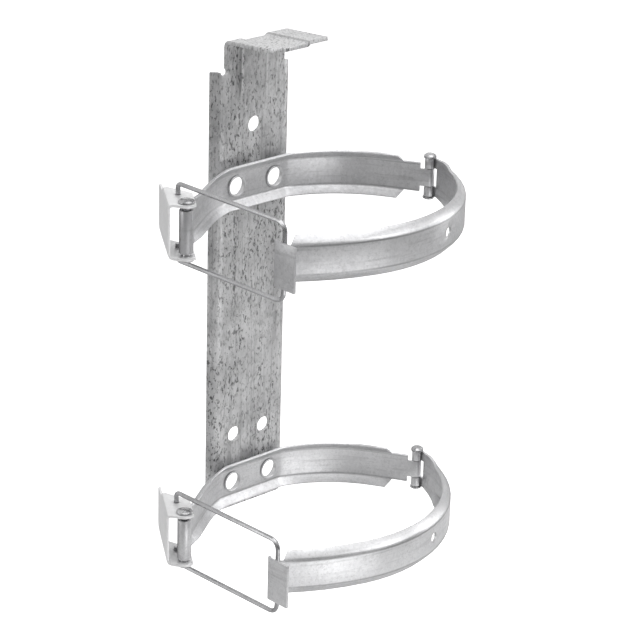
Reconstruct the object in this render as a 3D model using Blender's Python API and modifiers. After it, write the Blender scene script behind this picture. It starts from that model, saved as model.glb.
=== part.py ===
"""Fire extinguisher bracket: a folded steel backplate that carries two strap clamps with latch levers.

X runs along the wall to the right, Y runs into the wall and Z runs up. The origin lies on the
back face of the backplate, on its centre line and level with the middle of the lower strap.
"""
import bmesh
import bpy
from math import acos, atan2, ceil, cos, pi, radians, sin, sqrt
from mathutils import Vector

MM = 0.001

# Clearances between pieces that touch on the real bracket
SEAT = 0.2 * MM
PIN_GAP = 0.2 * MM
KNUCKLE_GAP = 0.3 * MM

# A face that something rests on stands this little proud, so that it stays a facet of its own
FACE_RISE = 0.01 * MM

# Clamps
CLAMP_SPACING = 156.0 * MM
STRAP_SHEET = 1.2 * MM
WEB_HALF = 7.3 * MM
LIP_REACH = 12.2 * MM
LIP_BEND = 1.8 * MM
LIP_FOLD = radians(45)
LIP_SLANT = 3.0 * MM

# Rear strap, measured along its centre line from the middle of the backplate
REAR_FLAT = 17.3 * MM
REST_HALF = 6.0 * MM
REAR_CREASE_RADIUS = 12.0 * MM
REAR_CREASE = radians(18)
REAR_RADIUS = 68.1 * MM
REAR_LEFT_TURN = radians(16.2)
REAR_RIGHT_TURN = radians(40)
ARM_LENGTH = 40.1 * MM
ARM_FADE = 22.0 * MM
HINGE_RUN = 22.0 * MM
HINGE_FLAT = 12.0 * MM
BARREL_RADIUS = 2.8 * MM
BARREL_HALF = 10.3 * MM

# Strap hinge
KNUCKLE_RADIUS = 1.85 * MM
KNUCKLE_HALF = 4.4 * MM
STACK_HALF = 9.6 * MM
KNUCKLE_NOTCH = 4.2 * MM
PIN_HEAD_RADIUS = 3.1 * MM
PIN_TOP_HEAD = 1.9 * MM
PIN_LOW_HEAD = 1.3 * MM
PIN_TURNS = 20

# Shares of a pin's heads: the flat and the rounded part of the top one, and the pressed low one
TOP_HEAD_FLAT = 0.7
TOP_HEAD_DOME = 0.45
LOW_HEAD_WIDTH = 0.94
LOW_HEAD_SIDE = 0.6
LOW_HEAD_FLAT = 0.66

# Front strap
FRONT_RADIUS = 73.45 * MM
FRONT_START = radians(-7)
FRONT_TURN = radians(98)
FRONT_FLARE = 20.0 * MM
FRONT_END_RADIUS = 117.7 * MM
FRONT_END_TURN = radians(20.6)
FRONT_SLANT = 2.0 * MM
NECK_LENGTH = 6.4 * MM
NECK_RADIUS = 14.0 * MM
NECK_RISE = radians(23.2)
HOOK_BEND_RADIUS = 1.2 * MM
HOOK_FOLD = radians(105)
HOOK_LENGTH = 12.0 * MM
HOOK_HALF = 10.75 * MM
STRAP_HOLE_RADIUS = 2.6 * MM
STRAP_HOLE_PLACE = radians(64)

# Latch lever, in its own frame: X back along the handle, Y out from the bracket
LEVER_SHEET = 1.2 * MM
LEVER_SPLAY = radians(23.5)
LEVER_LIFT = 0.4 * MM
LEVER_WEB = 8.0 * MM
LEVER_EAR = 12.8 * MM
LEVER_CORNER = 1.6 * MM
LEVER_FRONT = -1.0 * MM
LEVER_REAR = 35.5 * MM
LEVER_TAIL_HALF = 11.0 * MM
LEVER_SHOULDER = 24.0 * MM
EAR_NOSE = 5.0 * MM
EAR_INNER = -4.2 * MM
EAR_INNER_REAR = 13.0 * MM
EAR_LINES = (0.35, 0.6, 0.8, 1.0)
LEVER_PIN_RADIUS = 1.9 * MM
LEVER_PIN_HEAD_RADIUS = 3.9 * MM
LEVER_PIN_HEAD = 1.3 * MM

# Wire bail
WIRE_RADIUS = 1.1 * MM
BAIL_BACK = 11.5 * MM
BAIL_OUT = 2.5 * MM
BAIL_HOLE_GAP = 0.35 * MM
BAIL_HALF = 18.7 * MM
BAIL_LEG_BEND = 2.0 * MM
BAIL_CORNER = 4.5 * MM
BAIL_LEG_END = 10.4 * MM
WIRE_FROM_NECK = 1.5 * MM
WIRE_FROM_HOOK = 2.6 * MM

# Backplate
PLATE_SHEET = 1.9 * MM
PLATE_WEB_HALF = 18.0 * MM
PLATE_BEND_RADIUS = 4.5 * MM
FLANGE_FOLD = radians(48)
FLANGE_LENGTH = 5.6 * MM
PLATE_BELOW = 14.6 * MM
FLANGE_TOP = 57.0 * MM
FLANGE_CORNER = 7.0 * MM
TAB_ABOVE = 72.7 * MM
TAB_BEND_RADIUS = 3.0 * MM
TAB_DEPTH = 30.3 * MM
TAB_FOLD = radians(85)
RIB_START = 40.0 * MM
RIB_FADE = 8.0 * MM
RIB_DEPTH = 1.0 * MM
RIB_SLOPE = 1.6 * MM
RIB_LEFT = -10.0 * MM
RIB_RIGHT = 6.0 * MM
WALL_FACE_LEFT = -5.2 * MM
MOUNT_HOLE_RADIUS = 4.0 * MM
TOP_HOLE_ABOVE = 28.4 * MM
PAIR_HOLES_ABOVE = 25.0 * MM
PAIR_HOLE_LEFT = -10.0 * MM
PAIR_HOLE_RIGHT = 9.0 * MM
RELIEF_RADIUS = 1.8 * MM

# Eyelets that rivet the rear straps to the backplate
EYELET_PLACE = 11.9 * MM
EYELET_BORE = 4.5 * MM
EYELET_TUBE = 4.85 * MM
EYELET_RIM = 5.4 * MM
EYELET_RIM_SHEET = 0.5 * MM
EYELET_SPREAD = 1.4 * MM
EYELET_RECESS = 0.05 * MM
EYELET_TURNS = 24

ARC_STEP = radians(6)
ROLL_STEP = radians(30)


def clear_scene():
    for item in list(bpy.data.objects):
        bpy.data.objects.remove(item, do_unlink=True)


def new_collection(name, hidden):
    group = bpy.data.collections.new(name)
    bpy.context.scene.collection.children.link(group)
    group.hide_render = hidden
    return group


def steel(name, colour, roughness):
    material = bpy.data.materials.new(name)
    material.use_nodes = True
    shader = material.node_tree.nodes["Principled BSDF"]
    shader.inputs["Base Color"].default_value = (*colour, 1.0)
    shader.inputs["Metallic"].default_value = 1.0
    shader.inputs["Roughness"].default_value = roughness
    return material


def add_object(name, mesh, group, material=None):
    item = bpy.data.objects.new(name, mesh)
    group.objects.link(item)
    if material is not None:
        mesh.materials.append(material)
    return item


def shade(mesh):
    mesh.shade_smooth()
    mesh.set_sharp_from_angle(angle=radians(32))


class Run:
    """Plan centre line of a strip, drawn from its start as straight and round stretches.

    Every station holds its place, its heading, how far the edges of the strip are folded in, how
    high they reach and how far a cut leans there. Every span between two stations holds the band
    of the strip that is kept, as the lowest and highest distance from its middle.
    """

    def __init__(self, place, heading, fold=0.0, reach=LIP_REACH):
        self.stations = [(Vector(place), heading, fold, reach, 0.0)]
        self.spans = []

    def place(self):
        return self.stations[-1][0]

    def heading(self):
        return self.stations[-1][1]

    def add(self, place, heading, fold, reach, band):
        self.stations.append((place, heading, fold, reach, 0.0))
        self.spans.append(band)

    def line(self, length, band, fold=None, reach=None, steps=1):
        start, heading, fold_from, reach_from, lean = self.stations[-1]
        fold_to = fold_from if fold is None else fold
        reach_to = reach_from if reach is None else reach
        ahead = Vector((cos(heading), sin(heading)))
        for step in range(1, steps + 1):
            part = step / steps
            self.add(start + ahead * length * part, heading, fold_from + (fold_to - fold_from) * part,
                     reach_from + (reach_to - reach_from) * part, band)

    def bend(self, radius, turn, band, fold=None, reach=None, step=ARC_STEP):
        start, heading, fold_from, reach_from, lean = self.stations[-1]
        fold_to = fold_from if fold is None else fold
        reach_to = reach_from if reach is None else reach
        side = 1.0 if turn > 0 else -1.0
        centre = start + Vector((-sin(heading), cos(heading))) * radius * side
        count = max(2, ceil(abs(turn) / step))
        for index in range(1, count + 1):
            part = index / count
            now = heading + turn * part
            place = centre - Vector((-sin(now), cos(now))) * radius * side
            self.add(place, now, fold_from + (fold_to - fold_from) * part,
                     reach_from + (reach_to - reach_from) * part, band)

    def lean_last(self, lean):
        self.stations[-1] = (*self.stations[-1][:4], lean)

    def set_back_last(self, depth):
        place, *rest = self.stations[-1]
        self.stations[-1] = (place + Vector((0.0, depth)), *rest)

    def reverse(self):
        """The same line walked the other way, with its inner side kept."""
        self.stations = [(place, heading + pi, fold, reach, -lean)
                         for place, heading, fold, reach, lean in reversed(self.stations)]
        self.spans.reverse()
        return self


def roll_turn(radius, sheet):
    """How far a sheet can be rolled before its end meets the sheet that runs in."""
    return 2 * pi - acos(1 - (sheet + KNUCKLE_GAP) / radius)


def strip_rows():
    """Distances from the middle of a strap to the lines of its mesh; None is the free edge."""
    flat = WEB_HALF - LIP_BEND / 2
    return [KNUCKLE_HALF, KNUCKLE_HALF + KNUCKLE_GAP, flat, WEB_HALF, flat + LIP_BEND, None]


def strip_profile(distance, fold):
    """Height and inward reach of a line of the strap, with its edge folded in by fold."""
    flat = WEB_HALF - LIP_BEND / 2
    if distance <= flat or fold < 1e-6:
        return distance, 0.0
    radius = LIP_BEND / fold
    turned = min(1.0, (distance - flat) / LIP_BEND) * fold
    rest = max(0.0, distance - flat - LIP_BEND)
    height = flat + radius * sin(turned) + rest * cos(fold)
    inward = radius * (1 - cos(turned)) + rest * sin(fold)
    return height, inward


def strip_mesh(name, run, inner_side):
    """Open centre surface of a strap; inner_side is 1 when the ring lies left of the run."""
    rows = strip_rows()
    lines = [(-1, row) for row in reversed(rows)] + [(1, row) for row in rows]
    mesh = bmesh.new()
    made = {}

    def corner(station, line):
        if (station, line) not in made:
            place, heading, fold, reach, lean = run.stations[station]
            side, row = lines[line]
            distance = reach if row is None else row
            height, inward = strip_profile(distance, fold)
            inner = Vector((-sin(heading), cos(heading))) * inner_side
            share = max(0.0, distance - WEB_HALF) / (reach - WEB_HALF)
            ahead = Vector((cos(heading), sin(heading)))
            spot = place + inner * inward + ahead * lean * share
            made[station, line] = mesh.verts.new((spot.x, spot.y, side * height))
        return made[station, line]

    for span, (low, high) in enumerate(run.spans):
        for line in range(len(lines) - 1):
            edges = []
            for side, row in (lines[line], lines[line + 1]):
                edges.append(LIP_REACH if row is None else row)
            middle_gap = lines[line][0] != lines[line + 1][0]
            inner_edge = 0.0 if middle_gap else min(edges)
            if inner_edge >= low - 1e-7 and max(edges) <= high + 1e-7:
                mesh.faces.new([corner(span, line), corner(span + 1, line),
                                corner(span + 1, line + 1), corner(span, line + 1)])
    data = bpy.data.meshes.new(name)
    mesh.to_mesh(data)
    mesh.free()
    return data


def thicken(item, sheet, offset=0.0):
    modifier = item.modifiers.new("Sheet", "SOLIDIFY")
    modifier.thickness = sheet
    modifier.offset = offset
    modifier.use_even_offset = True
    return modifier


def cut(item, cutter):
    modifier = item.modifiers.new("Cut", "BOOLEAN")
    modifier.operation = "DIFFERENCE"
    modifier.solver = "EXACT"
    modifier.object = cutter


def drill(name, holes, cutters):
    """Cutter of rods and cones; each hole is its middle, its direction, its length and its two radii."""
    mesh = bmesh.new()
    for middle, direction, length, near, far in holes:
        turn = Vector((0, 0, 1)).rotation_difference(Vector(direction)).to_matrix().to_4x4()
        rod = bmesh.ops.create_cone(mesh, cap_ends=True, segments=24, radius1=near, radius2=far,
                                    depth=length, matrix=turn)
        bmesh.ops.translate(mesh, verts=rod["verts"], vec=middle)
    data = bpy.data.meshes.new(name)
    mesh.to_mesh(data)
    mesh.free()
    item = add_object(name, data, cutters)
    item.hide_render = True
    item.display_type = "WIRE"
    return item


def turned(name, profile, steps, group, material):
    """Solid of revolution about Z; the profile runs down its outer side, top to bottom."""
    mesh = bmesh.new()
    corners = [mesh.verts.new((radius, 0, height)) for radius, height in profile]
    for first, second in zip(corners, corners[1:]):
        mesh.edges.new((first, second))
    if profile[0][0] > 0:
        mesh.edges.new((corners[-1], corners[0]))
    data = bpy.data.meshes.new(name)
    mesh.to_mesh(data)
    mesh.free()
    item = add_object(name, data, group, material)
    screw = item.modifiers.new("Turn", "SCREW")
    screw.steps = steps
    screw.render_steps = steps
    screw.use_merge_vertices = True
    screw.merge_threshold = 0.00001
    return item


def rear_run():
    """Rear strap from the latch barrel on the left to the hinge knuckle on the right."""
    full = (0.0, LIP_REACH)
    web = (0.0, WEB_HALF)
    level = -(PLATE_SHEET + SEAT + STRAP_SHEET / 2)
    left = Run((0.0, level - FACE_RISE), pi, LIP_FOLD)
    left.line(REST_HALF, full)
    left.line(REAR_FLAT - REST_HALF, full)
    left.set_back_last(FACE_RISE)
    left.bend(REAR_CREASE_RADIUS, REAR_CREASE, full)
    left.bend(REAR_RADIUS, REAR_LEFT_TURN, full)
    left.line(ARM_LENGTH - ARM_FADE, full, steps=2)
    left.line(ARM_FADE, full, fold=0.0, reach=BARREL_HALF, steps=4)
    arm_heading = left.heading()
    inner = Vector((-sin(arm_heading), cos(arm_heading)))
    pivot = left.place() + inner * BARREL_RADIUS
    left.bend(BARREL_RADIUS, roll_turn(BARREL_RADIUS, STRAP_SHEET), full, step=ROLL_STEP)

    right = Run((0.0, level - FACE_RISE), 0.0, LIP_FOLD)
    right.line(REST_HALF, full)
    right.line(REAR_FLAT - REST_HALF, full)
    right.set_back_last(FACE_RISE)
    right.bend(REAR_CREASE_RADIUS, -REAR_CREASE, full)
    right.bend(REAR_RADIUS, -REAR_RIGHT_TURN, full)
    right.line(HINGE_RUN - HINGE_FLAT, full, steps=2)
    right.lean_last(-LIP_SLANT)
    right.line(HINGE_FLAT - KNUCKLE_NOTCH, web, steps=2)
    right.line(KNUCKLE_NOTCH, (0.0, KNUCKLE_HALF))
    outer = Vector((-sin(right.heading()), cos(right.heading())))
    hinge = right.place() + outer * KNUCKLE_RADIUS
    right.bend(KNUCKLE_RADIUS, roll_turn(KNUCKLE_RADIUS, STRAP_SHEET), (0.0, KNUCKLE_HALF), step=ROLL_STEP)

    run = left.reverse()
    run.stations += right.stations[1:]
    run.spans += right.spans
    return run, hinge, pivot, arm_heading + pi


def front_run(hinge):
    """Front strap from its hinge knuckles round the front to the hook on the left."""
    knuckles = (KNUCKLE_HALF + KNUCKLE_GAP, LIP_REACH)
    full = (0.0, LIP_REACH)
    web = (0.0, WEB_HALF)
    outward = Vector((cos(FRONT_START), sin(FRONT_START)))
    start = hinge + outward * KNUCKLE_RADIUS
    heading = FRONT_START - pi / 2
    roll = Run(start, heading + pi, 0.0, STACK_HALF)
    roll.bend(KNUCKLE_RADIUS, roll_turn(KNUCKLE_RADIUS, STRAP_SHEET), knuckles, step=ROLL_STEP)
    run = roll.reverse()
    notch_turn = KNUCKLE_NOTCH / FRONT_RADIUS
    flare_turn = FRONT_FLARE / FRONT_RADIUS
    run.bend(FRONT_RADIUS, -notch_turn, knuckles)
    run.bend(FRONT_RADIUS, -flare_turn, full, fold=LIP_FOLD, reach=LIP_REACH)
    run.bend(FRONT_RADIUS, -(FRONT_TURN - notch_turn - flare_turn), full)
    run.bend(FRONT_END_RADIUS, -FRONT_END_TURN, full)
    run.lean_last(-FRONT_SLANT)
    run.bend(NECK_RADIUS, NECK_RISE, web, fold=0.0, reach=HOOK_HALF)
    run.line(NECK_LENGTH - NECK_RADIUS * NECK_RISE, web)
    neck_heading = run.heading()
    fold_start = run.place()
    run.bend(HOOK_BEND_RADIUS, HOOK_FOLD, full, step=ROLL_STEP)
    run.line(HOOK_LENGTH, full)
    return run, fold_start, neck_heading


def wire_place(fold_start, neck_heading):
    """Where the front of the bail lies between the neck and the hook."""
    ahead = Vector((cos(neck_heading), sin(neck_heading)))
    outer = Vector((-sin(neck_heading), cos(neck_heading)))
    vertex = fold_start + ahead * HOOK_BEND_RADIUS
    return vertex - ahead * (WIRE_FROM_HOOK + STRAP_SHEET / 2) + \
        outer * (STRAP_SHEET / 2 + WIRE_RADIUS + WIRE_FROM_NECK)


def backplate(group, cutters, material):
    """Web with two swept-back flanges, a neck and a tab that folds forward over the cylinder."""
    middle = -PLATE_SHEET / 2 - FACE_RISE
    columns = plate_columns()
    rows = plate_rows()
    mesh = bmesh.new()
    made = {}

    def corner(row, column):
        if (row, column) not in made:
            height, forward, fold, rib = rows[row]
            across, back, sunk = columns[column]
            drop = flange_drop(row, rows, across)
            depth = middle + back - forward - cos(fold) * rib * sunk
            level = height - sin(fold) * rib * sunk - drop
            made[row, column] = mesh.verts.new((across, depth, level))
        return made[row, column]

    flange_row = [row for row in range(len(rows)) if rows[row][0] <= CLAMP_SPACING + FLANGE_TOP][-1]
    for row in range(len(rows) - 1):
        for column in range(len(columns) - 1):
            in_flange = max(abs(columns[column][0]), abs(columns[column + 1][0])) > PLATE_WEB_HALF + 1e-6
            if not in_flange or row < flange_row:
                mesh.faces.new([corner(row, column), corner(row, column + 1),
                                corner(row + 1, column + 1), corner(row + 1, column)])
    data = bpy.data.meshes.new("backplate")
    mesh.to_mesh(data)
    mesh.free()
    item = add_object("backplate", data, group, material)
    thicken(item, PLATE_SHEET)
    cut(item, drill("backplate_holes", plate_holes(), cutters))
    return item


def plate_columns():
    """Lines up the plate: place across, set-back of a flange and share of the pressed rib."""
    bend_in = PLATE_BEND_RADIUS * sin(FLANGE_FOLD / 2)
    flange = []
    for part in (0.0, 0.5, 1.0):
        turn = FLANGE_FOLD * part
        across = PLATE_WEB_HALF + PLATE_BEND_RADIUS * sin(turn)
        flange.append((across, PLATE_BEND_RADIUS * (1 - cos(turn)), 0.0))
    across, back, sunk = flange[-1]
    flange.append((across + (FLANGE_LENGTH - bend_in) * cos(FLANGE_FOLD),
                   back + (FLANGE_LENGTH - bend_in) * sin(FLANGE_FOLD), 0.0))
    half_slope = RIB_SLOPE / 2
    web = [(RIB_LEFT - half_slope, 0.0, 0.0), (RIB_LEFT + half_slope, 0.0, 1.0),
           (WALL_FACE_LEFT, FACE_RISE, 1.0), (RIB_RIGHT - half_slope, FACE_RISE, 1.0),
           (RIB_RIGHT + half_slope, 0.0, 0.0)]
    left =[(-across, back, sunk) for across, back, sunk in reversed(flange)]
    return left + web + flange


def plate_rows():
    """Lines across the plate: height, reach forward, fold of the tab and strength of the rib."""
    bottom = -PLATE_BELOW
    fold_level = CLAMP_SPACING + TAB_ABOVE - PLATE_SHEET / 2 - TAB_BEND_RADIUS
    rib_level = CLAMP_SPACING + RIB_START
    rows = [(bottom, 0.0, 0.0, 0.0), (rib_level, 0.0, 0.0, 0.0),
            (rib_level + RIB_FADE, 0.0, 0.0, RIB_DEPTH)]
    rows.append((CLAMP_SPACING + FLANGE_TOP, 0.0, 0.0, RIB_DEPTH))
    for part in range(5):
        fold = TAB_FOLD * part / 4
        rows.append((fold_level + TAB_BEND_RADIUS * sin(fold), TAB_BEND_RADIUS * (1 - cos(fold)),
                     fold, RIB_DEPTH))
    height, forward, fold, rib = rows[-1]
    rest = (TAB_DEPTH + PLATE_SHEET / 2 - forward) / sin(fold)
    rows.append((height + rest * cos(fold), forward + rest * sin(fold), fold, rib))
    return rows


def flange_drop(row, rows, across):
    """How far the rounded top corner of a flange lies below its root."""
    at_top = abs(rows[row][0] - CLAMP_SPACING - FLANGE_TOP) < 1e-7
    beyond = (abs(across) - PLATE_WEB_HALF) / FLANGE_LENGTH
    if not at_top or beyond <= 0 or across < 0:
        return 0.0
    return FLANGE_CORNER * (1 - sqrt(max(0.0, 1 - min(1.0, beyond) ** 2)))


def plate_holes():
    through = PLATE_SHEET * 4
    back = (0, 1, 0)
    top = CLAMP_SPACING + TOP_HOLE_ABOVE
    holes = [((0, 0, top), back, through, MOUNT_HOLE_RADIUS, MOUNT_HOLE_RADIUS)]
    for place in (PAIR_HOLE_LEFT, PAIR_HOLE_RIGHT):
        holes.append(((place, 0, PAIR_HOLES_ABOVE), back, through, MOUNT_HOLE_RADIUS, MOUNT_HOLE_RADIUS))
    sink_length = PLATE_SHEET * 3
    sink_radius = EYELET_TUBE + PIN_GAP + EYELET_SPREAD / 2
    sink_slope = EYELET_SPREAD / PLATE_SHEET * sink_length / 2
    for level in (0.0, CLAMP_SPACING):
        for place in (-EYELET_PLACE, EYELET_PLACE):
            holes.append(((place, -PLATE_SHEET / 2, level), back, sink_length,
                          sink_radius - sink_slope, sink_radius + sink_slope))
    relief = (-PLATE_WEB_HALF - RELIEF_RADIUS / 2, 0, CLAMP_SPACING + FLANGE_TOP)
    holes.append((relief, back, through, RELIEF_RADIUS, RELIEF_RADIUS))
    return holes


def eyelet(name, place, level, group, material):
    """Hollow rivet with a rolled rim on the strap, spread in the plate's sunk hole so that it ends flush."""
    front = SEAT + STRAP_SHEET + SEAT
    back = PLATE_SHEET - EYELET_RECESS
    rim = EYELET_RIM_SHEET
    profile = [(EYELET_BORE + rim / 2, front + rim), (EYELET_RIM - rim / 2, front + rim),
               (EYELET_RIM, front + rim / 2), (EYELET_RIM, front), (EYELET_TUBE, front), (EYELET_TUBE, 0.0),
               (EYELET_TUBE + EYELET_SPREAD, -back), (EYELET_BORE + EYELET_SPREAD, -back),
               (EYELET_BORE, 0.0), (EYELET_BORE, front + rim / 2)]
    item = turned(name, profile, EYELET_TURNS, group, material)
    item.rotation_euler = (pi / 2, 0, 0)
    item.location = (place, -PLATE_SHEET, level)
    return item


def headed_pin(name, radius, half_low, half_high, head_radius, top_head, low_head, group, material):
    """Round pin with a domed head above and a pressed head below."""
    top = half_high + top_head
    low = -half_low - low_head
    low_radius = head_radius * LOW_HEAD_WIDTH
    profile = [(0, top), (head_radius * TOP_HEAD_FLAT, top), (head_radius, top - top_head * TOP_HEAD_DOME),
               (head_radius, half_high), (radius, half_high), (radius, -half_low), (low_radius, -half_low),
               (low_radius, -half_low - low_head * LOW_HEAD_SIDE), (head_radius * LOW_HEAD_FLAT, low), (0, low)]
    return turned(name, profile, PIN_TURNS, group, material)


def lever_columns():
    """Lines along the lever's bent section: out, height, front end and rear end."""
    corner = LEVER_CORNER
    ear_line = LEVER_EAR
    half = [(LEVER_WEB, LEVER_TAIL_HALF - corner, LEVER_FRONT, LEVER_REAR),
            (LEVER_WEB, LEVER_TAIL_HALF, LEVER_FRONT, LEVER_REAR - corner),
            (LEVER_WEB, ear_line - corner, LEVER_FRONT, LEVER_SHOULDER)]
    for part in (0.5, 1.0):
        turn = pi / 2 * part
        half.append((LEVER_WEB - corner * (1 - cos(turn)), ear_line - corner * (1 - sin(turn)),
                     LEVER_FRONT - corner * part, LEVER_SHOULDER - corner * part))
    inner_run = LEVER_WEB - corner - EAR_INNER
    for part in EAR_LINES:
        out = LEVER_WEB - corner - inner_run * part
        front = -sqrt(EAR_NOSE ** 2 - out ** 2) if abs(out) < EAR_NOSE else 0.0
        rear = LEVER_SHOULDER - corner + (EAR_INNER_REAR - LEVER_SHOULDER + corner) * part
        half.append((out, ear_line, front, rear))
    lower = [(out, -height, front, rear) for out, height, front, rear in reversed(half)]
    return lower + half


def latch_lever(name, pivot, heading, level, group, cutters, material):
    """Channel with two ears for the pivot pin and a tapered handle behind them."""
    columns = lever_columns()
    mesh = bmesh.new()
    steps = 6
    grid = []
    for out, height, front, rear in columns:
        grid.append([mesh.verts.new((front + (rear - front) * step / steps, out, height))
                     for step in range(steps + 1)])
    for first, second in zip(grid, grid[1:]):
        for step in range(steps):
            mesh.faces.new([first[step], first[step + 1], second[step + 1], second[step]])
    data = bpy.data.meshes.new(name)
    mesh.to_mesh(data)
    mesh.free()
    item = add_object(name, data, group, material)
    thicken(item, LEVER_SHEET)
    deep = LEVER_EAR * 4
    up = (0, 0, 1)
    pin_hole = LEVER_PIN_RADIUS + PIN_GAP
    wire_hole = WIRE_RADIUS + BAIL_HOLE_GAP
    cutter = drill(name + "_holes", [((0, 0, 0), up, deep, pin_hole, pin_hole),
                                     ((BAIL_BACK, BAIL_OUT, 0), up, deep, wire_hole, wire_hole)], cutters)
    cut(item, cutter)
    for thing in (item, cutter):
        thing.location = (pivot.x, pivot.y, level)
        thing.rotation_euler = (0, 0, heading)
    return item


def bail_line(length):
    """Half of the bail's centre line, from the end of a leg to the middle of the front."""
    points = [(0.0, BAIL_LEG_END)]
    for part in range(5):
        turn = pi / 2 * part / 4
        points.append((BAIL_LEG_BEND * (1 - cos(turn)), BAIL_HALF - BAIL_LEG_BEND * (1 - sin(turn))))
    for part in range(5):
        turn = pi / 2 * part / 4
        points.append((length - BAIL_CORNER * (1 - sin(turn)), BAIL_HALF - BAIL_CORNER * (1 - cos(turn))))
    return points


def wire_bail(name, anchor, front, level, group, material):
    """Sprung wire loop whose bent legs turn in the lever and whose front catches in the hook."""
    reach = front - anchor
    half = bail_line(reach.length)
    line = half + [(along, -height) for along, height in reversed(half)]
    curve = bpy.data.curves.new(name, "CURVE")
    curve.dimensions = "3D"
    curve.bevel_depth = WIRE_RADIUS
    curve.bevel_resolution = 2
    curve.use_fill_caps = True
    spline = curve.splines.new("POLY")
    spline.points.add(len(line) - 1)
    for point, (along, height) in zip(spline.points, line):
        point.co = (along, 0, height, 1)
    curve.materials.append(material)
    item = bpy.data.objects.new(name, curve)
    group.objects.link(item)
    item.location = (anchor.x, anchor.y, level)
    item.rotation_euler = (0, 0, atan2(reach.y, reach.x))
    return item


def strap(name, run, inner_side, level, origin, group, material, holes, cutters):
    """Strap with its origin at the given plan place, cut by its holes."""
    data = strip_mesh(name, run, inner_side)
    for corner in data.vertices:
        corner.co.x -= origin.x
        corner.co.y -= origin.y
    item = add_object(name, data, group, material)
    item.location = (origin.x, origin.y, level)
    thicken(item, STRAP_SHEET)
    cutter = drill(name + "_holes", holes, cutters)
    cutter.location = (0, 0, level)
    cut(item, cutter)
    return item


def clamp(prefix, level, group, cutters, finish):
    """One clamp: rear strap, front strap, hinge pin, lever, lever pin, bail and two eyelets."""
    rear, hinge, pivot, arm_heading = rear_run()
    front, fold_start, neck_heading = front_run(hinge)
    through = STRAP_SHEET * 6
    tube_hole = EYELET_TUBE + PIN_GAP
    eyelet_holes = [((place, -PLATE_SHEET, 0), (0, 1, 0), through, tube_hole, tube_hole)
                    for place in (-EYELET_PLACE, EYELET_PLACE)]
    strap(prefix + "_rear_strap", rear, -1, level, Vector((0, 0)), group, finish["strap"],
          eyelet_holes, cutters)

    centre = hinge - Vector((cos(FRONT_START), sin(FRONT_START))) * (FRONT_RADIUS - KNUCKLE_RADIUS)
    spoke = FRONT_START - STRAP_HOLE_PLACE
    outward = Vector((cos(spoke), sin(spoke), 0))
    middle = Vector((centre.x, centre.y, 0)) + outward * FRONT_RADIUS
    strap(prefix + "_front_strap", front, -1, level, hinge, group, finish["front"],
          [(middle, outward, through, STRAP_HOLE_RADIUS, STRAP_HOLE_RADIUS)], cutters)

    pin = headed_pin(prefix + "_hinge_rivet", KNUCKLE_RADIUS - STRAP_SHEET / 2 - PIN_GAP,
                     STACK_HALF + SEAT, STACK_HALF + SEAT, PIN_HEAD_RADIUS, PIN_TOP_HEAD, PIN_LOW_HEAD,
                     group, finish["pin"])
    pin.location = (hinge.x, hinge.y, level)

    lever_heading = arm_heading + LEVER_SPLAY
    lever_level = level + LEVER_LIFT
    latch_lever(prefix + "_latch_lever", pivot, lever_heading, lever_level, group, cutters, finish["lever"])
    reach = LEVER_EAR + LEVER_SHEET / 2 + SEAT
    lever_pin = headed_pin(prefix + "_lever_rivet", LEVER_PIN_RADIUS, reach, reach, LEVER_PIN_HEAD_RADIUS,
                           LEVER_PIN_HEAD, LEVER_PIN_HEAD, group, finish["pin"])
    lever_pin.location = (pivot.x, pivot.y, lever_level)

    back = Vector((cos(lever_heading), sin(lever_heading)))
    out = Vector((-sin(lever_heading), cos(lever_heading)))
    anchor = pivot + back * BAIL_BACK + out * BAIL_OUT
    wire_bail(prefix + "_wire_bail", anchor, wire_place(fold_start, neck_heading), lever_level,
              group, finish["wire"])
    for side, place in (("left", -EYELET_PLACE), ("right", EYELET_PLACE)):
        eyelet(prefix + "_" + side + "_eyelet", place, level, group, finish["eyelet"])


def build():
    clear_scene()
    parts = new_collection("fire_extinguisher_bracket", False)
    cutters = new_collection("cutters", True)
    finish = {"plate": steel("galvanised_plate", (0.50, 0.50, 0.51), 0.42),
              "strap": steel("galvanised_rear_strap", (0.62, 0.62, 0.63), 0.34),
              "front": steel("galvanised_front_strap", (0.64, 0.64, 0.65), 0.34),
              "lever": steel("bright_lever", (0.86, 0.86, 0.87), 0.25),
              "wire": steel("bright_wire", (0.60, 0.60, 0.61), 0.22),
              "pin": steel("zinc_pin", (0.55, 0.55, 0.56), 0.30),
              "eyelet": steel("zinc_eyelet", (0.70, 0.70, 0.71), 0.30)}
    backplate(parts, cutters, finish["plate"])
    for prefix, level in (("upper", CLAMP_SPACING), ("lower", 0.0)):
        clamp(prefix, level, parts, cutters, finish)
    for item in parts.objects:
        if item.type == "MESH":
            shade(item.data)


build()
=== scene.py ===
"""Looks of the fire extinguisher bracket: zinc-coated sheet steel, rivets and wire in a white studio."""
from math import cos, radians, sin

import bpy
from mathutils import Matrix, Vector


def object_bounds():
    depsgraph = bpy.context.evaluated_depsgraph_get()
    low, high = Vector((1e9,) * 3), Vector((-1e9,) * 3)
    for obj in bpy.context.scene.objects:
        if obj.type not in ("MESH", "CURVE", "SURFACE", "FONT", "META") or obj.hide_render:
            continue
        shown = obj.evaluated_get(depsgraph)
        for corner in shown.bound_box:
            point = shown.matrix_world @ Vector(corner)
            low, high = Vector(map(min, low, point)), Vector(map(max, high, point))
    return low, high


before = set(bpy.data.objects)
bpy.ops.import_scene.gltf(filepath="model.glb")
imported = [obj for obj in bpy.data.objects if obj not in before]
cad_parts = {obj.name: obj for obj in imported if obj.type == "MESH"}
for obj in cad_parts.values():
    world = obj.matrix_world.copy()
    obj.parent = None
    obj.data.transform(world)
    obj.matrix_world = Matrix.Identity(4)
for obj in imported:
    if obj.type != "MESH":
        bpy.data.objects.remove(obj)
cad_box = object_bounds()

MM = 0.001

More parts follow.
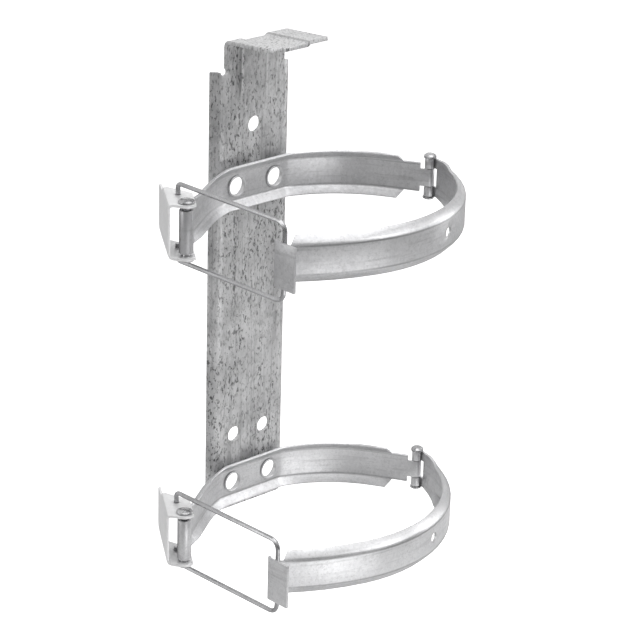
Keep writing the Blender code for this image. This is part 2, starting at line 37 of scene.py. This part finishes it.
# Camera, as the photograph was taken
CAMERA_YAW = radians(-42.465)
CAMERA_PITCH = radians(22.275)
CAMERA_ROLL = radians(1.61)
CAMERA_DISTANCE = 1.1854
CAMERA_TARGET = Vector((-0.01849, -0.0719, 0.11086))
CAMERA_NEAR = 0.05
CAMERA_FAR = 50
PHOTO_SIZE = 640
FOCAL_PIXELS = 2560.0
SENSOR = 36.0

# How a pattern is stretched on a sheet: even, drawn out upwards, in bands, and in fine lines up or along.
# The last one changes with height alone
EVEN_GRAIN = (1.0, 1.0, 1.0)
UP_GRAIN = (1.0, 1.0, 0.45)
UP_BANDS = (1.0, 1.0, 0.16)
UP_LINES = (1.0, 1.0, 0.03)
ALONG_LINES = (0.05, 0.05, 1.0)
HEIGHT_ALONE = (0.0, 0.0, 1.0)

# Tone of the zinc, from dark to light: how fine each layer is, its share in the tone, and the part of a
# layer's range that is spread from nothing to full
CLOUD_SCALE = 45.0
CLOUD_RANGE = (0.30, 0.70)
CLOUD_SHARE = 0.50
GRAIN_SCALE = 1100.0
GRAIN_SHARE = 0.36
CRYSTAL_SCALE = 700.0
CRYSTAL_SHARE = 0.26
TONE_RANGE = (0.25, 0.87)

# Surface: dark zinc is duller and light zinc glossier than a finish's roughness, and grain and crystals
# stand out by this depth
GLOSS_RANGE = (0.1, 0.9)
DULLER = 0.08
GLOSSIER = 0.05
RELIEF = 0.03 * MM
WIRE_RELIEF = 0.01 * MM

# Dark marks, whose colour is a share of a finish's dark one: scratches, and flecks that gather in bands
# The same dark colour also serves for painted shade on the plate's neck steps and on the straps' lips and
# creases
DEEP_SHARE = 0.30
SCRATCH_SCALE = 700.0
SCRATCH_RANGE = (0.54, 0.72)
FLECK_SCALE = 900.0
FLECK_RANGE = (0.53, 0.62)
BAND_SCALE = 120.0
BAND_RANGE = (0.40, 0.60)
BAND_LEAST = 0.45

# Cracked line in the plate's coating. A line's core is the share of its half width that is full
CRACK_PLACE = -11.5 * MM
CRACK_HALF = 1.3 * MM
CRACK_CORE = 0.5
CRACK_SWAY = 1.5 * MM
CRACK_SWAY_SCALE = 90.0
CRACK_LOW = 88 * MM
CRACK_HIGH = 146 * MM
CRACK_FADE = 8 * MM
CRACK_BREAKS = (0.44, 0.56)
CRACK_DEPTH = 0.9

# Heights between which the painted light on the plate fades out, so that its zinc gets darker upwards, and
# what its tone gains below them
PAINTED_LIGHT_FROM = 60 * MM
PAINTED_LIGHT_TO = 150 * MM
PAINTED_LIGHT_SHARE = 0.16

# Tab on top, whose zinc is made paler by painted light from above
TAB_LEVEL = 228 * MM
TAB_FADE = 1.3 * MM
TAB_PAINTED_LIGHT = 0.35

# Steps pressed into the plate's neck: a line of painted shade at each, and a painted highlight beside it
RIB_PLACES = (-10 * MM, 6 * MM)
RIB_LOW = 196 * MM
RIB_FADE = 6 * MM
RIB_LINE_HALF = 0.7 * MM
RIB_LINE_CORE = 0.4
RIB_PAINTED_SHADE = 0.45
RIB_PAINTED_HIGHLIGHT = 0.35
RIB_HIGHLIGHT_OFF = 1.3 * MM

# Straps: where the lips, and the painted shade on them, begin and are full, from the strap's middle up and
# down, and the line of painted shade in the bend between web and lip, which is fainter where the clouds are
# low
LIP_FROM = 6.9 * MM
LIP_FULL = 7.6 * MM
CREASE_PLACE = 6.7 * MM
CREASE_HALF = 0.7 * MM
CREASE_CORE = 0.3
CREASE_CLOUDS = (0.35, 0.60)
CREASE_LEAST = 0.5

# The painted shade on the lips starts where the hook ends along X. It stops at this Y, which on the front
# strap lies before its hinge and on the rear strap behind the whole part, so that it runs all along it
HOOK_TO = -57 * MM
HOOK_FADE = 0.7 * MM
LIP_FADE = 6 * MM
FRONT_LIPS_TO = -66 * MM
REAR_LIPS_TO = 20 * MM

# Straps by kind, with the strength of the painted shade in their creases and on their lips, and what their
# colours gain; and by clamp, with its level, its dark and light colour, what its hook's tone gains as painted
# shade and how much darker its lips are painted
STRAPS = {"rear_strap": {"behind": REAR_LIPS_TO, "crease_shade": 0.3, "lip_shade": 0.0, "lift": 0.0},
          "front_strap": {"behind": FRONT_LIPS_TO, "crease_shade": 0.6, "lip_shade": 0.14, "lift": 0.03}}
# The lower clamp's lighter dark and light colours are painted light
CLAMPS = {"upper": {"level": 156 * MM, "dark": 0.47, "light": 0.66, "hook": -0.30, "lip_shade": 0.0},
          "lower": {"level": 0.0, "dark": 0.56, "light": 0.74, "hook": 0.0, "lip_shade": 0.16}}
STRAP_BLUE = 0.01

# Width of the rounding on cut edges, by the end of a piece's name, and the angles from which an edge is
# rounded and from which it stays sharp
BEVELS = {"backplate": 0.25 * MM, "strap": 0.2 * MM, "latch_lever": 0.2 * MM, "wire_bail": 0.0,
          "rivet": 0.15 * MM, "eyelet": 0.12 * MM}
BEVEL_SEGMENTS = 2
BEVEL_FROM = radians(50)
SHARP_FROM = radians(32)
PLATE_SHARP_FROM = radians(26)
WELD_REACH = 0.01 * MM

# Studio: light from all round, and what polished metal shows of the room. It is white in the directions
# that lie this far towards +Y and +Z, and dimmer in the others
WORLD_LIGHT = 0.38
ROOM_GLOW = 0.28
BACKDROP_RANGE = (-0.05, 0.35)
OVERHEAD_RANGE = (0.35, 0.75)

# Lamps: name, place, what it faces, width, height and power
BRACKET_MIDDLE = (0.0, -0.06, 0.11)
BRACKET_FOOT = (0.0, -0.06, -0.05)
LAMPS = (("top", (0.1, -0.25, 1.3), BRACKET_MIDDLE, 1.2, 0.9, 6.5),
         ("key", (0.55, -1.15, 0.80), BRACKET_MIDDLE, 0.8, 0.8, 5.5),
         ("side", (1.2, -0.45, 0.35), BRACKET_MIDDLE, 0.5, 0.9, 5),
         ("left", (-1.2, 0.35, 0.50), BRACKET_MIDDLE, 0.6, 0.8, 3),
         ("low", (-0.10, -0.75, -0.25), BRACKET_FOOT, 0.5, 0.3, 0.7))

FLOOR_DROP = 0.45
FLOOR_HALF = 6.0
FLOOR_COLOUR = (0.9, 0.9, 0.9, 1.0)
FLOOR_ROUGHNESS = 0.9
FLOOR_GLOW = 0.9
WHITE = (1.0, 1.0, 1.0, 1.0)


def node_tree(material):
    material.use_nodes = True
    return material.node_tree


def link(tree, source, target):
    tree.links.new(source, target)


def coordinates(tree, stretch):
    """Object coordinates, which move with the piece, stretched for a grain."""
    place = tree.nodes.new("ShaderNodeTexCoord")
    mapping = tree.nodes.new("ShaderNodeMapping")
    mapping.inputs["Scale"].default_value = stretch
    link(tree, place.outputs["Object"], mapping.inputs["Vector"])
    return mapping.outputs["Vector"]


def object_axis(tree, axis):
    """One of a piece's object coordinates."""
    place = tree.nodes.new("ShaderNodeTexCoord")
    parts = tree.nodes.new("ShaderNodeSeparateXYZ")
    link(tree, place.outputs["Object"], parts.inputs["Vector"])
    return parts.outputs[axis]


def noise(tree, vector, scale, detail=4.0, roughness=0.5, distortion=0.0):
    node = tree.nodes.new("ShaderNodeTexNoise")
    node.inputs["Scale"].default_value = scale
    node.inputs["Detail"].default_value = detail
    node.inputs["Roughness"].default_value = roughness
    node.inputs["Distortion"].default_value = distortion
    link(tree, vector, node.inputs["Vector"])
    return node.outputs["Fac"]


def crystals(tree, vector, scale):
    """Value that differs from one zinc crystal to the next."""
    node = tree.nodes.new("ShaderNodeTexVoronoi")
    node.inputs["Scale"].default_value = scale
    link(tree, vector, node.inputs["Vector"])
    grey = tree.nodes.new("ShaderNodeRGBToBW")
    link(tree, node.outputs["Color"], grey.inputs["Color"])
    return grey.outputs["Val"]


def ramp(tree, value, low, high, low_out=0.0, high_out=1.0):
    """Value spread from low and high to the two outputs, and held at them beyond."""
    node = tree.nodes.new("ShaderNodeMapRange")
    node.inputs["From Min"].default_value = low
    node.inputs["From Max"].default_value = high
    node.inputs["To Min"].default_value = low_out
    node.inputs["To Max"].default_value = high_out
    link(tree, value, node.inputs["Value"])
    return node.outputs["Result"]


def combine(tree, first, second, operation):
    """Math node on two values, each an output or a number."""
    node = tree.nodes.new("ShaderNodeMath")
    node.operation = operation
    for index, value in enumerate((first, second)):
        if isinstance(value, float):
            node.inputs[index].default_value = value
        else:
            link(tree, value, node.inputs[index])
    return node.outputs["Value"]


def plus(tree, first, second):
    return combine(tree, first, second, "ADD")


def minus(tree, first, second):
    return combine(tree, first, second, "SUBTRACT")


def times(tree, first, second):
    return combine(tree, first, second, "MULTIPLY")


def larger(tree, first, second):
    return combine(tree, first, second, "MAXIMUM")


def size_of(tree, value):
    return combine(tree, value, 0.0, "ABSOLUTE")


def distance(tree, value, centre):
    return size_of(tree, minus(tree, value, centre))


def line(tree, off, half, core):
    """Line that is full in its core and fades out at its half width."""
    return ramp(tree, off, half * core, half, 1.0, 0.0)


def blend(tree, factor, first, second):
    """From the first colour, a tuple or an output, to the second one, by a factor."""
    node = tree.nodes.new("ShaderNodeMix")
    node.data_type = "RGBA"
    if isinstance(first, tuple):
        node.inputs["A"].default_value = (*first, 1.0)
    else:
        link(tree, first, node.inputs["A"])
    node.inputs["B"].default_value = (*second, 1.0)
    link(tree, factor, node.inputs["Factor"])
    return node.outputs["Result"]


def rib_lines(tree, shift):
    """Thin line at, or beside, each of the two steps that are pressed into the plate's neck, for their
    painted shade and painted highlight.
    """
    lines = 0.0
    for place in RIB_PLACES:
        off = distance(tree, object_axis(tree, "X"), place + shift)
        lines = plus(tree, lines, line(tree, off, RIB_LINE_HALF, RIB_LINE_CORE))
    return times(tree, lines, ramp(tree, object_axis(tree, "Z"), RIB_LOW, RIB_LOW + RIB_FADE))


def plate_painted_light(tree):
    """Painted light: what the plate's tone gains low down, on its tab, and as a painted highlight beside the
    steps in its neck.
    """
    painted_light_low_down = ramp(tree, object_axis(tree, "Z"), PAINTED_LIGHT_FROM, PAINTED_LIGHT_TO, PAINTED_LIGHT_SHARE, 0.0)
    painted_light_on_tab = ramp(tree, object_axis(tree, "Z"), TAB_LEVEL - TAB_FADE, TAB_LEVEL, 0.0, TAB_PAINTED_LIGHT)
    return painted_light_low_down, painted_light_on_tab, times(tree, rib_lines(tree, RIB_HIGHLIGHT_OFF), RIB_PAINTED_HIGHLIGHT)


def crack(tree, spots):
    """Broken dark line up the plate, where its coating has cracked between the two clamps."""
    height = object_axis(tree, "Z")
    drift = noise(tree, coordinates(tree, HEIGHT_ALONE), CRACK_SWAY_SCALE)
    sway = ramp(tree, drift, 0.0, 1.0, -CRACK_SWAY, CRACK_SWAY)
    across = plus(tree, minus(tree, object_axis(tree, "X"), CRACK_PLACE), sway)
    near = line(tree, size_of(tree, across), CRACK_HALF, CRACK_CORE)
    inside = times(tree, ramp(tree, height, CRACK_LOW, CRACK_LOW + CRACK_FADE),
                   ramp(tree, height, CRACK_HIGH - CRACK_FADE, CRACK_HIGH, 1.0, 0.0))
    broken = times(tree, ramp(tree, spots, *CRACK_BREAKS), CRACK_DEPTH)
    return times(tree, times(tree, near, inside), broken)


def lip_and_crease_shade(tree, strap, cloud):
    """Painted shade: darker lips, and a dark line of painted shade along the bends between them and a strap's
    flat web.
    """
    from_middle = distance(tree, object_axis(tree, "Z"), strap["level"])
    near = line(tree, distance(tree, from_middle, CREASE_PLACE), CREASE_HALF, CREASE_CORE)
    depth = ramp(tree, cloud, *CREASE_CLOUDS, strap["crease_shade"] * CREASE_LEAST, strap["crease_shade"])
    lip_shading = ramp(tree, from_middle, LIP_FROM, LIP_FULL, 0.0, strap["lip_shade"])
    past_hook = ramp(tree, object_axis(tree, "X"), HOOK_TO, HOOK_TO + LIP_FADE)
    before_end = ramp(tree, object_axis(tree, "Y"), strap["behind"] - LIP_FADE, strap["behind"], 1.0, 0.0)
    return times(tree, larger(tree, times(tree, near, depth), lip_shading), times(tree, past_hook, before_end))


def galvanised(name, dark, light, roughness, metallic, cloud_scale=CLOUD_SCALE, fleck=0.0, streak=0.0,
               grain=EVEN_GRAIN, lines=UP_LINES, cracks_and_painted_light=False, strap=None, relief=RELIEF):
    """Zinc-coated steel: soft clouds, small dark flecks in bands and faint drawn-out streaks.

    For the backplate, it adds the crack in its coating, painted light low down, on its tab and beside its
    neck's steps, and painted shade at those steps.
    Strap is a dict of places and strengths, and adds a strap's painted shade on its hook, on its lips and
    along their bends.
    """
    material = bpy.data.materials.new(name)
    tree = node_tree(material)
    shader = tree.nodes["Principled BSDF"]
    shader.inputs["Metallic"].default_value = metallic

    drawn = coordinates(tree, grain)
    cloud = noise(tree, coordinates(tree, EVEN_GRAIN), cloud_scale, roughness=0.55)
    fine = noise(tree, drawn, GRAIN_SCALE, detail=3.0, roughness=0.6)
    spangle = crystals(tree, drawn, CRYSTAL_SCALE)
    tone = plus(tree, times(tree, ramp(tree, cloud, *CLOUD_RANGE), CLOUD_SHARE),
                plus(tree, times(tree, fine, GRAIN_SHARE), times(tree, spangle, CRYSTAL_SHARE)))
    if cracks_and_painted_light:
        # Painted light on the plate: low down, on its tab and beside the steps in its neck
        for share in plate_painted_light(tree):
            tone = plus(tree, tone, share)
    if strap:
        # Painted shade on a clamp's hook: its tone drops up to where the hook ends along X
        tone = plus(tree, tone, ramp(tree, object_axis(tree, "X"), HOOK_TO - HOOK_FADE, HOOK_TO,
                                     strap["hook"], 0.0))
    colour = blend(tree, ramp(tree, tone, *TONE_RANGE), dark, light)

    deep = tuple(channel * DEEP_SHARE for channel in dark)
    if streak > 0:
        scratch = noise(tree, coordinates(tree, lines), SCRATCH_SCALE, detail=2.0)
        colour = blend(tree, times(tree, ramp(tree, scratch, *SCRATCH_RANGE), streak), colour, deep)
    if fleck > 0:
        spots = noise(tree, drawn, FLECK_SCALE, detail=3.0, roughness=0.66, distortion=0.5)
        bands = noise(tree, coordinates(tree, UP_BANDS), BAND_SCALE, detail=2.0)
        areas = ramp(tree, bands, *BAND_RANGE, BAND_LEAST, 1.0)
        marks_and_shade = times(tree, times(tree, ramp(tree, spots, *FLECK_RANGE), areas), fleck)
        if cracks_and_painted_light:
            marks_and_shade = larger(tree, marks_and_shade, crack(tree, spots))
            # Painted shade in a line along each step in the plate's neck
            marks_and_shade = larger(tree, marks_and_shade, times(tree, rib_lines(tree, 0.0), RIB_PAINTED_SHADE))
        colour = blend(tree, marks_and_shade, colour, deep)
    if strap:
        # Painted shade on the straps' lips and along the bends between lips and web
        colour = blend(tree, lip_and_crease_shade(tree, strap, cloud), colour, deep)
    link(tree, colour, shader.inputs["Base Color"])

    gloss = ramp(tree, tone, *GLOSS_RANGE, roughness + DULLER, roughness - GLOSSIER)
    link(tree, gloss, shader.inputs["Roughness"])
    height = tree.nodes.new("ShaderNodeBump")
    height.inputs["Strength"].default_value = 1.0
    height.inputs["Distance"].default_value = relief
    link(tree, plus(tree, fine, spangle), height.inputs["Height"])
    link(tree, height.outputs["Normal"], shader.inputs["Normal"])
    return material


def soften(item, bevel, sharp_from):
    """Rounds the cut edges of a CAD solid and shades its curved faces smooth."""
    for face in item.data.polygons:
        face.use_smooth = True
    weld = item.modifiers.new("Weld", "WELD")
    weld.merge_threshold = WELD_REACH
    if bevel > 0:
        edge = item.modifiers.new("Edges", "BEVEL")
        edge.width = bevel
        edge.segments = BEVEL_SEGMENTS
        edge.limit_method = "ANGLE"
        edge.angle_limit = BEVEL_FROM
        edge.use_clamp_overlap = True
    split = item.modifiers.new("Split", "EDGE_SPLIT")
    split.split_angle = sharp_from


def by_ending(table, name):
    """Entry of a table whose key a piece's name ends with."""
    return next(entry for ending, entry in table.items() if name.endswith(ending))


def strap_finishes():
    """Zinc of the four straps, by name."""
    finishes = {}
    for clamp, look in CLAMPS.items():
        for kind, strap in STRAPS.items():
            name = clamp + "_" + kind
            low, high = look["dark"] + strap["lift"], look["light"] + strap["lift"]
            marks_and_shade = {**strap, "level": look["level"], "hook": look["hook"], "lip_shade": strap["lip_shade"] + look["lip_shade"]}
            finishes[name] = galvanised(
                name + "_zinc", (low, low, low + STRAP_BLUE), (high, high, high + STRAP_BLUE),
                roughness=0.36, metallic=0.8, cloud_scale=30.0, fleck=0.2, streak=0.22,
                lines=ALONG_LINES, strap=marks_and_shade)
    return finishes


def dress():
    """Gives every CAD node its zinc and its rounded edges."""
    finishes = {
        "backplate": galvanised("plate_zinc", (0.36, 0.36, 0.365), (0.68, 0.68, 0.685), roughness=0.44,
                                metallic=0.7, fleck=0.95, streak=0.35, grain=UP_GRAIN, cracks_and_painted_light=True),
        "latch_lever": galvanised("lever_zinc", (0.82, 0.82, 0.825), (0.93, 0.93, 0.935), roughness=0.36,
                                  metallic=0.3),
        "wire_bail": galvanised("wire_zinc", (0.28, 0.28, 0.285), (0.46, 0.46, 0.47), roughness=0.22,
                                metallic=0.9, relief=WIRE_RELIEF),
        "rivet": galvanised("pin_zinc", (0.22, 0.22, 0.225), (0.62, 0.62, 0.63), roughness=0.24,
                            metallic=0.95, cloud_scale=200.0, fleck=0.6),
        "eyelet": galvanised("eyelet_zinc", (0.50, 0.50, 0.51), (0.74, 0.74, 0.75), roughness=0.34,
                             metallic=0.6),
        **strap_finishes()}
    for name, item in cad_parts.items():
        finish = by_ending(finishes, name)
        for slot in item.material_slots:
            slot.material = finish
        soften(item, by_ending(BEVELS, name), PLATE_SHARP_FROM if name == "backplate" else SHARP_FROM)


def make_camera():
    """Camera at the photograph's angle and distance."""
    data = bpy.data.cameras.new("photo_camera")
    camera = bpy.data.objects.new("photo_camera", data)
    bpy.context.scene.collection.objects.link(camera)
    ahead = Vector((-sin(CAMERA_YAW) * cos(CAMERA_PITCH), cos(CAMERA_YAW) * cos(CAMERA_PITCH),
                    -sin(CAMERA_PITCH)))
    right = Vector((cos(CAMERA_YAW), sin(CAMERA_YAW), 0))
    up = right.cross(ahead)
    turn = Matrix((right, up, -ahead)).transposed().to_4x4()
    place = CAMERA_TARGET - ahead * CAMERA_DISTANCE
    camera.matrix_world = Matrix.Translation(place) @ turn @ Matrix.Rotation(CAMERA_ROLL, 4, "Z")
    data.sensor_width = SENSOR
    data.lens = FOCAL_PIXELS / PHOTO_SIZE * SENSOR
    data.clip_start = CAMERA_NEAR
    data.clip_end = CAMERA_FAR
    bpy.context.scene.camera = camera


def area_light(name, place, aim, width, height, power):
    data = bpy.data.lights.new(name, "AREA")
    data.shape = "RECTANGLE"
    data.size = width
    data.size_y = height
    data.energy = power
    lamp = bpy.data.objects.new(name, data)
    bpy.context.scene.collection.objects.link(lamp)
    lamp.location = place
    lamp.rotation_euler = (Vector(aim) - Vector(place)).to_track_quat("-Z", "Y").to_euler()


def make_floor():
    """Pale floor far below the bracket, lit up to white for the camera alone."""
    bpy.ops.mesh.primitive_plane_add(size=FLOOR_HALF * 2, location=(0, 0, cad_box[0][2] - FLOOR_DROP))
    floor = bpy.context.object
    floor.name = "floor"
    material = bpy.data.materials.new("pale_floor")
    tree = node_tree(material)
    shader = tree.nodes["Principled BSDF"]
    shader.inputs["Base Color"].default_value = FLOOR_COLOUR
    shader.inputs["Roughness"].default_value = FLOOR_ROUGHNESS
    glow = tree.nodes.new("ShaderNodeEmission")
    path = tree.nodes.new("ShaderNodeLightPath")
    link(tree, times(tree, path.outputs["Is Camera Ray"], FLOOR_GLOW), glow.inputs["Strength"])
    total = tree.nodes.new("ShaderNodeAddShader")
    link(tree, shader.outputs["BSDF"], total.inputs[0])
    link(tree, glow.outputs["Emission"], total.inputs[1])
    link(tree, total.outputs["Shader"], tree.nodes["Material Output"].inputs["Surface"])
    floor.data.materials.append(material)


def direction_share(tree, axis, low, high):
    """How far a direction of the world lies towards an axis, from 0 below low to 1 above high."""
    place = tree.nodes.new("ShaderNodeTexCoord")
    parts = tree.nodes.new("ShaderNodeSeparateXYZ")
    link(tree, place.outputs["Generated"], parts.inputs["Vector"])
    return ramp(tree, parts.outputs[axis], low, high)


def make_world():
    """White backdrop; metal shows it at the back and overhead, and a dimmer room in front."""
    world = bpy.data.worlds.new("studio")
    bpy.context.scene.world = world
    world.use_nodes = True
    tree = world.node_tree
    background = tree.nodes["Background"]
    background.inputs["Color"].default_value = WHITE
    path = tree.nodes.new("ShaderNodeLightPath")
    glossy = path.outputs["Is Glossy Ray"]
    direct = larger(tree, path.outputs["Is Camera Ray"], path.outputs["Is Transmission Ray"])
    white = larger(tree, direction_share(tree, "Y", *BACKDROP_RANGE),
                   direction_share(tree, "Z", *OVERHEAD_RANGE))
    mirrored = times(tree, ramp(tree, white, 0.0, 1.0, ROOM_GLOW, 1.0), glossy)
    plain = times(tree, minus(tree, 1.0, glossy), WORLD_LIGHT)
    level = larger(tree, plus(tree, mirrored, plain), direct)
    link(tree, level, background.inputs["Strength"])


def light_studio():
    for lamp in LAMPS:
        area_light(*lamp)


dress()
make_camera()
make_floor()
make_world()
light_studio()
bpy.context.scene.view_settings.view_transform = "Standard"
